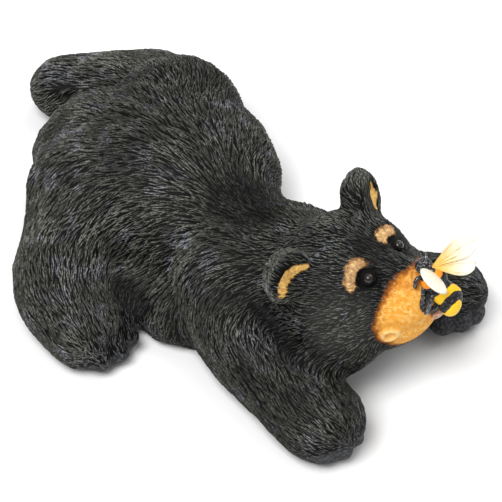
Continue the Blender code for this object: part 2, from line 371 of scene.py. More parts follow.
# Each foot: its centre, the way it points, its toes and the height of their middles
FEET = (
    (-51, -74.6, 184, 4, 6.5), (21.4, -72, 175, 4, 6.5),
    (-69.9, 12.2, 195, 4, 3.5), (13, 100, -10, 3, 4.5),
)
TOE_REACH = 10.8
TOE_ARC = 105


def toe_centres():
    centres = []
    for x, y, way, count, height in FEET:
        for share in np.linspace(-0.5, 0.5, count):
            angle = math.radians(way + TOE_ARC * share)
            centres.append((x - TOE_REACH * math.sin(angle), y + TOE_REACH * math.cos(angle), height))
    return np.array(centres)


TOES = toe_centres()


def toe_distance(points):
    """How far points are from the middle of the nearest toe, in millimetres."""
    form = seen_in(FORM, points)
    return np.linalg.norm(form[:, None] - TOES[None], axis=2).min(axis=1)


def paw_mask(points):
    """The front of each paw, where the toes are."""
    return ramp(toe_distance(points), 15, 8)


def toe_mask(points):
    """The bare toes, up to the grooves between them."""
    return ramp(toe_distance(points), 6.5, 5.4)


def head_mask(points):
    x, y, z = seen_in(HEAD, points).T
    return ramp(np.sqrt(x * x + (y * 0.8) ** 2 + z * z), 33, 24)


def cheek_mask(points):
    """The cheeks, where the grooves are shallow and hold less black."""
    x, y, z = seen_in(HEAD, points).T
    return ramp(np.linalg.norm((np.abs(x) - 22, y + 14, z), axis=0), 17, 8)


# Spots on the trunk and the limbs with more silver, partly silver paint and partly painted sheen: the
# middle and the radius
SILVER_AND_SHEEN_SPOTS = (
    (-24, 32, 47, 9), (-39, -13, 37, 6), (6, 21, 47, 8),
    (-64, 23.5, 25, 7), (-47, -44, 27, 12), (5, 99, 22, 9),
)
SPOT_CORE = 0.3


def spot(places, middle, radius):
    """A round spot that is full in its core and fades to nought at its radius."""
    return ramp(np.linalg.norm(places - middle, axis=1), radius, radius * SPOT_CORE)


def silver_and_sheen_mask(points):
    mask = 0.6 * paw_mask(points)
    form = seen_in(FORM, points)
    for *middle, radius in SILVER_AND_SHEEN_SPOTS:
        mask = np.maximum(mask, 0.8 * spot(form, middle, radius))
    return mask


skin_points = read_points(skin.data)
for title, mask in (("muzzle", muzzle_mask), ("brows", brow_mask), ("ears", ear_mask), ("toes", toe_mask)):
    print(title, "covers", int((mask(skin_points) > 0.5).sum()), "points of the skin")

# %% [markdown]
# ## Folds and ridges
#
# The folds are painted darker, as painted shade, and the ridges take more of the dry brush, which also
# paints light onto them.
# To find them, a copy of the skin is relaxed until its folds are gone. Where a point of
# the real skin lies below that smooth copy there is a fold, and where it lies above it
# there is a ridge.

# %% Find folds and ridges
def fold_depths(mesh):
    """How deep each point lies in a fold, in millimetres; less than nought on a ridge."""
    twin = in_scene("smooth_twin", mesh)
    relax = twin.modifiers.new("relax", "SMOOTH")
    relax.factor = 0.8
    relax.iterations = 220
    smooth = read_points(evaluated(twin).data)
    bpy.data.objects.remove(twin)
    return ((smooth - read_points(mesh)) * read_normals(mesh)).sum(axis=1) / MM


# Stretches painted darker, as a route, its outer and inner reach and the loss: the right
# foreleg, as painted shade on its side away from the light, the deep fold between thigh
# and flank, as painted shade, and the left forearm
DARKER_STRETCHES = (
    (((-42, -32, 15), (-47.8, -44.5, 13), (-50, -62, 12)), 26, 14, 0.45),
    (((-51.5, 14, 17), (-52, 5, 15)), 9, 3, 0.75),
    (((9, -38, 13), (22.8, -72.6, 11)), 24, 14, 0.35),
)
# The bridge between the eyes, in the head's frame, which is darkened as painted shade
SHADED_BRIDGE = ((0, -18, 17), (0, -28, 9))
# Spots where the coat is painted lighter or darker: the middle, the radius and the change
TONE_SPOTS = (
    (-12, 40, 49, 24, -0.3), (-13, -9, 38, 24, -0.75), (-42, 24, 28, 22, 0.9), (21, 85, 27, 18, 0.7),
    (-45, -38, 28, 16, 0.4), (-30, -70, 40, 12, 0.4), (-49, -80, 24, 15, -0.4), (-28, 4, 42, 16, 0.3),
)


def brush_and_shade_share(points, depths):
    """How much of the dry brushing each point takes: less in folds, as painted shade, and more on ridges,
    as painted light.
    """
    share = 1 - 0.6 * ramp(depths, 0.5, 2.4) + 0.3 * ramp(-depths, 0.3, 1.6)
    form = seen_in(FORM, points)
    for route, outer, inner, loss in DARKER_STRETCHES:
        share *= 1 - loss * ramp(gap_to(form, route), outer, inner)
    for *middle, radius, change in TONE_SPOTS:
        share *= 1 + change * spot(form, middle, radius)
    # Painted shade round the eye sockets and along the bridge
    eye = face_distances(points)[2]
    eye_and_bridge_shade = np.minimum(eye - 3, gap_to(seen_in(HEAD, points), SHADED_BRIDGE))
    return share * (1 - 0.6 * ramp(eye_and_bridge_shade, 9, 3)) * (1 - 0.2 * cheek_mask(points))


def tree_of(points):
    """A search tree that finds the points near a place."""
    tree = KDTree(len(points))
    for index, point in enumerate(points):
        tree.insert(point, index)
    tree.balance()
    return tree


brushed_and_shaded = brush_and_shade_share(skin_points, fold_depths(skin.data))
skin_tree = tree_of(skin_points)
print("the brush takes", round(float(brushed_and_shaded.min()), 2), "to", round(float(brushed_and_shaded.max()), 2))

# %% [markdown]
# ## Which way the coat lies
#
# Fur runs from the nose over the crown, down the spine to the rump, and out along
# each limb to the toes. The runs below are drawn through the middle of those forms,
# and a point on the skin takes its way from the runs that are nearest to it. On the
# trunk the coat also falls away from the spine to both sides.

# %% Runs of the coat
SPINE = ((-12, -48, 40), (-14, -20, 34), (-10, 20, 40), (-10, 60, 36), (-14, 84, 14))
LIMBS = (
    ((-28, -12, 22), (-38.5, -22, 16), (-47.8, -44.5, 13), (-51.9, -75, 11.5)),
    ((-2, -20, 17), (9, -38, 13), (14.5, -57, 11), (22.8, -72.6, 11)),
    ((-32, 54, 20), (-52, 51, 14), (-67, 35, 11), (-73, 14, 10)),
    ((18, 51, 19), (27, 71, 15), (18, 90, 13), (9, 101, 12)),
)
SIDE_FALL = 0.8
SPINE_PULL = 1.9


def coat_runs():
    """Straight runs as (start, end, pull, fall), in metres."""
    runs = []
    for start, end in zip(SPINE, SPINE[1:]):
        runs.append((FORM @ Vector(start), FORM @ Vector(end), SPINE_PULL, SIDE_FALL))
    for limb in LIMBS:
        for start, end in zip(limb, limb[1:]):
            runs.append((FORM @ Vector(start), FORM @ Vector(end), 1.0, 0.0))
    head_runs = [((0, -24, 10), (0, 20, 14), 1.3)]
    for side in (-1, 1):
        head_runs.append(((side * 14, -18, -6), (side * 18, 12, -8), 1.0))
        head_runs.append(((side * 17, 4, 12), (side * 26, 2, 29), 0.8))
    for start, end, pull in head_runs:
        runs.append((HEAD @ Vector(start), HEAD @ Vector(end), pull, 0.0))
    return runs


RUNS = coat_runs()


def coat_way(points):
    """Which way the coat lies near each point."""
    ways = np.zeros_like(points)
    for start, end, pull, fall in RUNS:
        start, along = np.array(start), np.array(end - start)
        share = np.clip((points - start) @ along / (along @ along), 0, 1)
        away = points - start - share[:, None] * along
        gap = np.linalg.norm(away, axis=1) / pull
        way = np.tile(along / np.linalg.norm(along), (len(points), 1))
        side = np.clip(away[:, 0] / (30 * MM), -1, 1)
        way[:, 0] += fall * side
        way[:, 2] -= fall * np.abs(side)
        ways += way / (gap[:, None] / MM + 1) ** 4
    return ways / np.linalg.norm(ways, axis=1)[:, None]


print(len(RUNS), "runs guide the coat")

# %% [markdown]
# ## One lock
#
# A carved lock is a low ridge that rises out of the skin, stays sharp along its crest
# and dies away to a point. It starts as a ring of three points, crest up, which is
# extruded along its length, scaled at each station and closed to a point at both ends.
# Being small and repeated thousands of times, it has only two dozen faces.

# %% Model one lock
# Each station: how far along the lock, its half width and its height as shares
LOCK_STATIONS = (
    (0.0, 0.0, 0.0), (0.16, 0.62, 0.5), (0.42, 1.0, 0.95),
    (0.72, 0.78, 1.0), (0.92, 0.3, 0.62), (1.0, 0.0, 0.3),
)


def one_lock():
    """The lock on a straight line: X is the station's number, Y across it and Z its crest."""
    shell = bmesh.new()
    bmesh.ops.create_circle(shell, segments=3, radius=1.0)
    stand = Matrix.Rotation(math.radians(90), 3, "Z") @ Matrix.Rotation(math.radians(90), 3, "X")
    bmesh.ops.rotate(shell, verts=shell.verts, matrix=stand)
    ends = [list(shell.verts)]
    edges = list(shell.edges)
    for _ in LOCK_STATIONS[1:]:
        grown = bmesh.ops.extrude_edge_only(shell, edges=edges)["geom"]
        edges = [part for part in grown if isinstance(part, bmesh.types.BMEdge)]
        ends.append([part for part in grown if isinstance(part, bmesh.types.BMVert)])
        bmesh.ops.translate(shell, verts=ends[-1], vec=(1, 0, 0))
    for ring, (_, width, height) in zip(ends, LOCK_STATIONS):
        bmesh.ops.scale(shell, verts=ring, vec=(1, width, max(height, 0.05)))
    bmesh.ops.pointmerge(shell, verts=ends[0], merge_co=(0, 0, 0))
    last = len(LOCK_STATIONS) - 1
    bmesh.ops.pointmerge(shell, verts=ends[-1], merge_co=(last, 0, LOCK_STATIONS[-1][2]))
    bmesh.ops.recalc_face_normals(shell, faces=shell.faces)
    return close_shell(shell, bpy.data.meshes.new("one_lock"))


LOCK = one_lock()
LOCK_SHAPE = read_points(LOCK)
print("a lock has", len(LOCK.vertices), "points and", triangle_count(LOCK), "triangles")

# %% [markdown]
# ## Sowing
#
# The roots are scattered at random, then thinned so that no two stand closer than the
# coat's spacing at that place: close on the muzzle and the head, wider on the back.
# Random with a least distance looks combed by hand, where a grid would show its rows.

# %% Sow the roots
# Each kind of coat: length, width and height of a lock and the gap between roots, in mm
BODY_COAT = np.array((5.4, 1.05, 0.62, 0.92))
HEAD_COAT = np.array((3.2, 0.85, 0.36, 0.80))
PAW_COAT = np.array((3.0, 0.95, 0.25, 0.9))
MUZZLE_COAT = np.array((1.6, 0.8, 0.14, 0.95))
CANDIDATES = 200000


def coat_measures(points):
    """Length, width, height and gap of the locks at each point, in metres."""
    measures = np.tile(BODY_COAT, (len(points), 1))
    for mask, coat in ((paw_mask, PAW_COAT), (head_mask, HEAD_COAT), (muzzle_mask, MUZZLE_COAT)):
        share = mask(points)[:, None]
        measures = measures * (1 - share) + coat * share
    return measures * MM


def bare_spots(points, normals):
    """Where no lock grows: under the casting, on the nose and round the eyes."""
    x, y, z = seen_in(HEAD, points).T
    nose = (np.hypot(x / 7, (z + 3.2) / 5.8) < 1) & (y < -33)
    mouth, lobe, eye = face_distances(points)
    lines = (mouth < 0.8) | (lobe < 2.6) | (eye + LEFT_RIM * (x > 0) < 3.5) | (ear_mask(points) > 0.4)
    lines |= toe_mask(points) > 0.4
    beneath = (points[:, 2] < 0.6 * MM) | ((normals[:, 2] < -0.75) & (points[:, 2] < 4 * MM))
    return nose | lines | beneath


def sow(mesh, seed):
    """Roots spread over a mesh."""
    chance = np.random.default_rng(seed)
    mesh.calc_loop_triangles()
    corners = np.empty(len(mesh.loop_triangles) * 3, np.int32)
    mesh.loop_triangles.foreach_get("vertices", corners)
    first, second, third = read_points(mesh)[corners].reshape(-1, 3, 3).transpose(1, 0, 2)
    facing = np.cross(second - first, third - first)
    areas = np.linalg.norm(facing, axis=1)
    picks = chance.choice(len(areas), CANDIDATES, p=areas / areas.sum())
    u, v = chance.random((2, CANDIDATES, 1))
    u, v = np.where(u + v > 1, 1 - u, u), np.where(u + v > 1, 1 - v, v)
    spots = first[picks] * (1 - u - v) + second[picks] * u + third[picks] * v
    normals = facing[picks] / areas[picks][:, None]
    spots = spots[~bare_spots(spots, normals)]
    gaps = coat_measures(spots)[:, 3]
    tree = tree_of(spots)
    open_ground = np.ones(len(spots), bool)
    kept = []
    for index, gap in enumerate(gaps):
        if open_ground[index]:
            kept.append(index)
            for _, near, _ in tree.find_range(spots[index], gap):
                open_ground[near] = False
    return spots[kept]


roots = sow(skin.data, 11)
root_brushed_and_shaded = np.array([brushed_and_shaded[skin_tree.find(root)[1]] for root in roots])
print(len(roots), "locks are sown")

# %% [markdown]
# ## Combing
#
# From each root a lock follows the way of the coat in a few steps, and each step is
# pressed back onto the skin, so that the lock hugs the form. A slow swirl and a little
# chance turn it off its line, as a tool does in a carver's hand. The swirl's noise is
# seeded too, because it would otherwise start from the clock and differ in every run.

# %% Comb the locks along the skin
SWIRL = 0.24
STRAY = 0.16


def settle(tree, spots):
    """The nearest points of the skin and the way that it faces there."""
    held, facing = np.empty_like(spots), np.empty_like(spots)
    for index, start in enumerate(spots):
        place, normal, _, _ = tree.find_nearest(start)
        held[index] = place
        facing[index] = normal
    return held, facing


def unit(vectors):
    return vectors / np.maximum(np.linalg.norm(vectors, axis=-1, keepdims=True), 1e-12)


def comb(mesh, starts, lengths, seed):
    """Routes over the skin, as (stations, locks, 3), with the normals along them."""
    chance = np.random.default_rng(seed)
    noise.seed_set(seed)
    tree = BVHTree.FromPolygons(read_points(mesh).tolist(), [face.vertices[:] for face in mesh.polygons])
    swirl = np.array([noise.noise_vector(Vector(start) / (14 * MM)) for start in starts]) * SWIRL
    swirl += chance.normal(0, STRAY, starts.shape)
    routes, uprights = [], []
    spots = starts
    reaches = np.diff([station[0] for station in LOCK_STATIONS])
    for reach in (*reaches, 0):
        held, facing = settle(tree, spots)
        routes.append(held)
        uprights.append(facing)
        way = coat_way(held) + swirl
        way = unit(way - facing * (way * facing).sum(axis=1)[:, None])
        spots = held + way * (lengths * reach)[:, None]
    return np.array(routes), np.array(uprights)


sizes = coat_measures(roots)
chance = np.random.default_rng(5)
lengths = sizes[:, 0] * chance.uniform(0.65, 1.35, len(roots))
widths = sizes[:, 1] * chance.uniform(0.75, 1.25, len(roots))
heights = sizes[:, 2] * chance.uniform(0.7, 1.3, len(roots))
routes, uprights = comb(skin.data, roots, lengths, 23)
print("mean lock", round(lengths.mean() / MM, 2), "mm long and", round(widths.mean() / MM, 2), "mm wide")

# %% [markdown]
# ## The coat
#
# The single lock is duplicated until there are enough, then every copy is bent onto
# its route in one stroke of array arithmetic. Doubling the geometry is much quicker
# than adding the copies one by one. The skin and the routes are first sunk by three
# quarters of the coat's height, so that the crests end up near the solid's surface.

# %% Lay the coat
def copies_of(template, count):
    """One mesh that holds a template many times over, copy after copy."""
    shell = shell_of(template)
    kinds = (shell.verts, shell.edges, shell.faces)
    sizes = [len(kind) for kind in kinds]
    made = 1
    while made < count:
        more = min(made, count - made)
        parts = [part for kind, size in zip(kinds, sizes) for part in list(kind)[: size * more]]
        bmesh.ops.duplicate(shell, geom=parts)
        made += more
    return close_shell(shell, bpy.data.meshes.new(template.name + "_copies"))


def set_values(mesh, name, values):
    """Stores one number for each point of a mesh, for its paint to read."""
    channel = mesh.attributes.new(name, "FLOAT", "POINT")
    channel.data.foreach_set("value", np.asarray(values, np.float32))


def rim_highlight_mask(points):
    """The raised rim round each lobe, which takes a cream painted highlight."""
    return bell(face_distances(points)[1], 2.1, 0.8)


PAINT_MASKS = {
    "hollow": hollow_mask, "muzzle": muzzle_mask, "brow": brow_mask, "lining": ear_mask,
    "silver_and_sheen": silver_and_sheen_mask, "cheek": cheek_mask, "toe": toe_mask, "rim_highlight": rim_highlight_mask, "face": head_mask,
}


def paint_masks(mesh, shares):
    """The masks that the paints read, for every point of a mesh."""
    points = read_points(mesh)
    set_values(mesh, "brushed_and_shaded", shares)
    for name, mask in PAINT_MASKS.items():
        set_values(mesh, name, mask(points))


# How deep a lock sits in the skin, and the share of the coat's height that the skin sinks
LOCK_SINK = 0.10 * MM
SUNK_SHARE = 0.75


def lay_coat(name, chosen):
    """The locks that are chosen, as one piece."""
    mesh = copies_of(LOCK, len(chosen))
    station = np.rint(LOCK_SHAPE[:, 0]).astype(int)
    line, upright = routes[:, chosen], uprights[:, chosen]
    along = unit(np.gradient(line, axis=0))
    across = unit(np.cross(upright, along))
    middle = line[station].transpose(1, 0, 2)
    sideways = across[station].transpose(1, 0, 2) * (LOCK_SHAPE[:, 1] * 0.5)[None, :, None]
    raised = upright[station].transpose(1, 0, 2) * LOCK_SHAPE[:, 2][None, :, None]
    points = middle + sideways * widths[chosen][:, None, None]
    points += raised * heights[chosen][:, None, None]
    points -= upright[station].transpose(1, 0, 2) * LOCK_SINK
    points = np.clip(points.reshape(-1, 3), np.array(solid_low), np.array(solid_high))
    write_points(mesh, points)
    mesh.name = name
    crest = np.clip(LOCK_SHAPE[:, 2], 0, 1)
    set_values(mesh, "crest", np.tile(crest, len(chosen)))
    set_values(mesh, "lock", np.repeat(chance.random(len(chosen)), len(LOCK_SHAPE)))
    paint_masks(mesh, np.repeat(root_brushed_and_shaded[chosen], len(LOCK_SHAPE)))
    mesh.shade_smooth()
    return add_piece(name, mesh)


def sink_skin(mesh):
    """Lowers the skin by most of the height of the coat, and leaves the flat underside."""
    points, normals = read_points(mesh), read_normals(mesh)
    depth = coat_measures(points)[:, 2] * SUNK_SHARE
    flat = ramp(points[:, 2], 0, 1.2 * MM)
    lowered = points - normals * (depth * flat)[:, None]
    lowered[:, 2] = np.maximum(lowered[:, 2], 0)
    return lowered


lowered = sink_skin(skin.data)
drop = coat_measures(routes.reshape(-1, 3))[:, 2].reshape(routes.shape[:2]) * SUNK_SHARE
routes = routes - uprights * drop[:, :, None]
write_points(skin.data, lowered)
skin.data.shade_smooth()
set_values(skin.data, "crest", np.zeros(len(lowered)))
set_values(skin.data, "lock", np.full(len(lowered), 0.5))
paint_masks(skin.data, brushed_and_shaded)

COAT_CUTS = (-40, 0, 38)
zone = np.digitize(roots[:, 1], np.array(COAT_CUTS) * MM)
zone[head_mask(roots) > 0.4] = 4
coats = []
for index, name in enumerate(("coat_paws", "coat_shoulders", "coat_back", "coat_rump", "coat_head")):
    coat = lay_coat(name, np.flatnonzero(zone == index))
    coats.append(coat)
    print(name, "has", triangle_count(coat.data), "triangles")

# %% [markdown]
# ## Paint
#
# Two effects are node groups that are built once. Dry brush, for the coat, turns the
# crest of a lock, a chance value for that lock and slow noise into one mask. Grain is
# the faint unevenness of brushed paint, as a height for a bump, and most paints use it.

# %% Node helpers
def node(tree, kind, **inputs):
    """Adds a shader node and sets its inputs by name."""
    made = tree.nodes.new(kind)
    for name, value in inputs.items():
        made.inputs[name.replace("_", " ")].default_value = value
    return made


def feed(tree, socket, value):
    """Sets a socket to a number or a colour, or wires another socket to it."""
    if isinstance(value, (int, float)):
        socket.default_value = value
    elif isinstance(value, tuple):
        socket.default_value = (*value, 1.0)
    else:
        tree.links.new(value, socket)


def maths(tree, operation, first, second=None, clamp=False):
    """A Math node on sockets or numbers."""
    made = tree.nodes.new("ShaderNodeMath")
    made.operation = operation
    made.use_clamp = clamp
    feed(tree, made.inputs[0], first)
    if second is not None:
        feed(tree, made.inputs[1], second)
    return made.outputs[0]


def times(tree, first, second):
    return maths(tree, "MULTIPLY", first, second)


def plus(tree, first, second):
    return maths(tree, "ADD", first, second)


def blend(tree, share, under, over):
    """A colour mix, where each colour is a socket or three numbers."""
    made = tree.nodes.new("ShaderNodeMix")
    made.data_type = "RGBA"
    for socket, value in ((0, share), (6, under), (7, over)):
        feed(tree, made.inputs[socket], value)
    return made.outputs[2]


def value_of(tree, name):
    """A value stored on the mesh."""
    made = tree.nodes.new("ShaderNodeAttribute")
    made.attribute_name = name
    return made.outputs["Fac"]


def speckle(tree, size, detail=2.0, roughness=0.5):
    """Noise with features of about this size in metres, in the object's own space."""
    place = tree.nodes.new("ShaderNodeTexCoord")
    made = node(tree, "ShaderNodeTexNoise", Scale=1 / size, Detail=detail, Roughness=roughness)
    tree.links.new(place.outputs["Object"], made.inputs["Vector"])
    return made.outputs["Fac"]


def stretch(tree, value, low, high):
    """Spreads the values between low and high over nought to one."""
    made = node(tree, "ShaderNodeMapRange", From_Min=low, From_Max=high)
    made.interpolation_type = "SMOOTHSTEP"
    tree.links.new(value, made.inputs["Value"])
    return made.outputs["Result"]


def group(name, inputs, output):
    """An empty node group with number inputs and one number output."""
    tree = bpy.data.node_groups.new(name, "ShaderNodeTree")
    for title, value in inputs.items():
        socket = tree.interface.new_socket(title, in_out="INPUT", socket_type="NodeSocketFloat")
        socket.default_value = value
    tree.interface.new_socket(output, in_out="OUTPUT", socket_type="NodeSocketFloat")
    return tree, tree.nodes.new("NodeGroupInput"), tree.nodes.new("NodeGroupOutput")


def use_group(tree, grouped, **inputs):
    """Places a group in a material and wires or sets its inputs by name."""
    made = tree.nodes.new("ShaderNodeGroup")
    made.node_tree = grouped
    for name, value in inputs.items():
        feed(tree, made.inputs[name], value)
    return made.outputs[0]


# %% The two effects
def make_dry_brush():
    tree, given, result = group("dry_brush", {"Crest": 0.0, "Lock": 0.5, "Cover": 0.5}, "Mask")
    patches = stretch(tree, speckle(tree, 12 * MM, 3.0), 0.38, 0.66)
    streaks = stretch(tree, speckle(tree, 0.8 * MM, 2.0), 0.35, 0.68)
    edge = maths(tree, "POWER", given.outputs["Crest"], 2.4)
    pressure = plus(tree, times(tree, patches, 0.6), given.outputs["Cover"])
    favour = maths(tree, "POWER", given.outputs["Lock"], 2.0)
    lock = plus(tree, times(tree, favour, 1.1), 0.42)
    taken = times(tree, edge, times(tree, pressure, lock))
    broken = times(tree, taken, plus(tree, times(tree, streaks, 1.2), 0.3))
    tree.links.new(maths(tree, "MINIMUM", broken, 1.0), result.inputs[0])
    return tree


def make_grain():
    tree, given, result = group("grain", {"Coarse": 0.5}, "Height")
    fine = speckle(tree, 0.25 * MM, 2.0)
    coarse = speckle(tree, 0.9 * MM, 2.0)
    mixed = plus(tree, fine, times(tree, coarse, given.outputs["Coarse"]))
    tree.links.new(mixed, result.inputs[0])
    return tree


DRY_BRUSH = make_dry_brush()
GRAIN = make_grain()
print("effects:", DRY_BRUSH.name, "and", GRAIN.name)

# %% [markdown]
# ## The bear's paint
#
# Black goes on first and stays in the grooves, and the folds are kept darker as painted
# shade. Grey with a touch of olive is dry brushed over the crests, with silver in places
# that is partly painted sheen, and the toes are a mottled dark grey.
# The brows, the lining of the ears and the muzzle are laid over it in tan, deeper in
# the grooves and at their frayed edges, with brown freckles.

# %% Paint the coat
def painted(name, roughness, coat=0.0, gleam=0.5):
    """A material with its shader, ready for a base colour."""
    material = bpy.data.materials.new(name)
    material.use_nodes = True
    tree = material.node_tree
    shader = tree.nodes["Principled BSDF"]
    shader.inputs["Roughness"].default_value = roughness
    shader.inputs["Coat Weight"].default_value = coat
    shader.inputs["Specular IOR Level"].default_value = gleam
    return material, tree, shader


def add_bump(tree, shader, height, depth):
    bump = node(tree, "ShaderNodeBump", Strength=1.0, Distance=depth)
    tree.links.new(height, bump.inputs["Height"])
    tree.links.new(bump.outputs["Normal"], shader.inputs["Normal"])


GROOVE_AND_SHADE_BLACK = (0.002, 0.002, 0.002)
COAT_BLACK = (0.016, 0.016, 0.014)
FACE_BLACK = (0.030, 0.031, 0.028)
CHEEK_BLACK = (0.020, 0.020, 0.019)
BRUSHED_OLIVE = (0.190, 0.196, 0.168)
SILVER_AND_SHEEN_GREY = (0.27, 0.275, 0.30)
TOE_DARK = (0.024, 0.024, 0.025)
TOE_GREY = (0.068, 0.070, 0.078)
FRECKLE = (0.16, 0.055, 0.008)
RIM_HIGHLIGHT_CREAM = (0.98, 0.68, 0.30)
# Each painted patch: its mask, its edge, its body, its palest touches, how far its
# grooves keep the colour of the edge, and how frayed that edge is
PATCHES = (
    ("brow", (0.16, 0.075, 0.03), (0.54, 0.33, 0.15), (0.93, 0.64, 0.30), 0.5, 2.2),
    ("lining", (0.20, 0.10, 0.015), (0.57, 0.34, 0.11), (0.74, 0.50, 0.15), 0.0, 1.5),
    ("muzzle", (0.36, 0.10, 0.006), (0.87, 0.39, 0.05), (0.98, 0.64, 0.20), 0.25, 1.0),
)


def coat_paint():
    material, tree, shader = painted("coat_paint", 0.55, gleam=0.10)
    crest, lock = value_of(tree, "crest"), value_of(tree, "lock")
    share = value_of(tree, "brushed_and_shaded")
    dry = use_group(tree, DRY_BRUSH, Crest=crest, Lock=lock, Cover=0.42)
    dry = maths(tree, "MULTIPLY", dry, share, True)
    under = blend(tree, value_of(tree, "face"), COAT_BLACK, FACE_BLACK)
    # Painted shade: the black base goes darker still where the share is low, in the folds and the darker
    # stretches.
    under = blend(tree, stretch(tree, share, 0.2, 0.8), GROOVE_AND_SHADE_BLACK, under)
    groove = blend(tree, value_of(tree, "cheek"), GROOVE_AND_SHADE_BLACK, CHEEK_BLACK)
    black = blend(tree, stretch(tree, crest, 0.0, 0.7), groove, under)
    # Silver, partly silver paint and partly painted sheen, in slow patches and in the silver spots
    silver_and_sheen = stretch(tree, speckle(tree, 9 * MM, 2.0), 0.53, 0.66)
    silver_and_sheen = maths(tree, "MAXIMUM", silver_and_sheen, value_of(tree, "silver_and_sheen"))
    fur = blend(tree, dry, black, blend(tree, silver_and_sheen, BRUSHED_OLIVE, SILVER_AND_SHEEN_GREY))
    mottle = stretch(tree, speckle(tree, 1.3 * MM, 4.0, 0.6), 0.42, 0.62)
    fur = blend(tree, value_of(tree, "toe"), fur, blend(tree, mottle, TOE_DARK, TOE_GREY))
    freckle = stretch(tree, speckle(tree, 0.75 * MM, 1.0), 0.66, 0.72)
    ragged = times(tree, maths(tree, "SUBTRACT", mottle, 0.5), 0.08)
    blurred = maths(tree, "SUBTRACT", speckle(tree, 2.6 * MM, 2.0), 0.5)
    ragged = plus(tree, ragged, times(tree, blurred, 0.4))
    broad = stretch(tree, speckle(tree, 5 * MM, 2.0), 0.35, 0.65)
    bright = times(tree, mottle, plus(tree, times(tree, broad, 0.6), 0.4))
    for name, deep, body, pale, grooved, fray in PATCHES:
        worth = value_of(tree, name)
        edge = times(tree, stretch(tree, worth, 0.0, 0.3), fray)
        cover = plus(tree, worth, times(tree, ragged, edge))
        tan = blend(tree, bright, body, pale)
        tan = blend(tree, times(tree, freckle, 0.6), tan, FRECKLE)
        tan = blend(tree, times(tree, stretch(tree, crest, 0.75, 0.1), grooved), tan, deep)
        # A painted highlight: cream on the raised rim of each lobe
        tan = blend(tree, times(tree, value_of(tree, "rim_highlight"), 0.7), tan, RIM_HIGHLIGHT_CREAM)
        edged = blend(tree, stretch(tree, cover, 0.3, 0.95), deep, tan)
        fur = blend(tree, stretch(tree, cover, 0.12, 0.6), fur, edged)
    fur = blend(tree, value_of(tree, "hollow"), fur, GROOVE_AND_SHADE_BLACK)
    tree.links.new(fur, shader.inputs["Base Color"])
    sheen = maths(tree, "SUBTRACT", 0.60, times(tree, dry, 0.2))
    tree.links.new(sheen, shader.inputs["Roughness"])
    add_bump(tree, shader, use_group(tree, GRAIN, Coarse=0.6), 0.06 * MM)
    return material


COAT_PAINT = coat_paint()
for piece in (skin, *coats):
    piece.data.materials.clear()
    piece.data.materials.append(COAT_PAINT)
print("painted", 1 + len(coats), "pieces of the coat")

# %% [markdown]
# ## Eyes and nose
#
# The eyes are round beads under thick gloss, each in a dark rim of lid. The nose is a
# leathery pad with two nostrils above a pinkish lip. All start from a sphere, but the
# lid is a small ring that is spun round the eye, and the nostrils are pushed in.

# %% Helpers for small forms
def form_ball(centre, radii, space, fineness=4, turn=None):
    """An ellipsoid in a frame, as a bmesh of its own."""
    shell = bmesh.new()
    bmesh.ops.create_icosphere(shell, subdivisions=fineness, radius=1.0)
    bmesh.ops.scale(shell, verts=shell.verts, vec=radii)
    if turn:
        bmesh.ops.rotate(shell, verts=shell.verts, matrix=turn.to_3x3())
    bmesh.ops.translate(shell, verts=shell.verts, vec=centre)
    bmesh.ops.transform(shell, verts=shell.verts, matrix=space)
    return shell


def as_piece(shell, name, material):
    bmesh.ops.recalc_face_normals(shell, faces=shell.faces)
    mesh = close_shell(shell, bpy.data.meshes.new(name))
    mesh.shade_smooth()
    mesh.materials.append(material)
    return add_piece(name, mesh)


def push_in(shell, spot, radius, depth):
    """Presses a round dent where a shell is near a spot."""
    for vertex in shell.verts:
        near = (vertex.co - spot).length / radius
        if near < 1:
            vertex.co -= vertex.normal * depth * (1 - near * near) ** 2


def worn_paint(name, finish, speck, spread, colours, grain=None):
    """A paint worn in specks to a paler colour, with grain where it is rough."""
    material, tree, shader = painted(name, *finish)
    size, detail = speck
    wear = stretch(tree, speckle(tree, size * MM, detail), *spread)
    tree.links.new(blend(tree, wear, *colours), shader.inputs["Base Color"])
    if grain:
        coarse, depth = grain
        add_bump(tree, shader, use_group(tree, GRAIN, Coarse=coarse), depth * MM)
    return material


# %% Make the eyes
EYE_COLOURS = ((0.004, 0.004, 0.004), (0.02, 0.014, 0.01))
LID_COLOURS = ((0.004, 0.004, 0.004), (0.02, 0.02, 0.02))
GLOSS = worn_paint("gloss_black", (0.14, 0.1, 0.4), (1.5, 1.0), (0.3, 0.7), EYE_COLOURS)
LID_BLACK = worn_paint("matt_black", (0.6, 0.0, 0.05), (0.8, 2.0), (0.5, 0.8), LID_COLOURS)
# Each eye: its side, its name, the radius of its bead and the thickness of its lid
EYES = ((-1, "right", 2.0, 0.4), (1, "left", 1.85, 0.3))


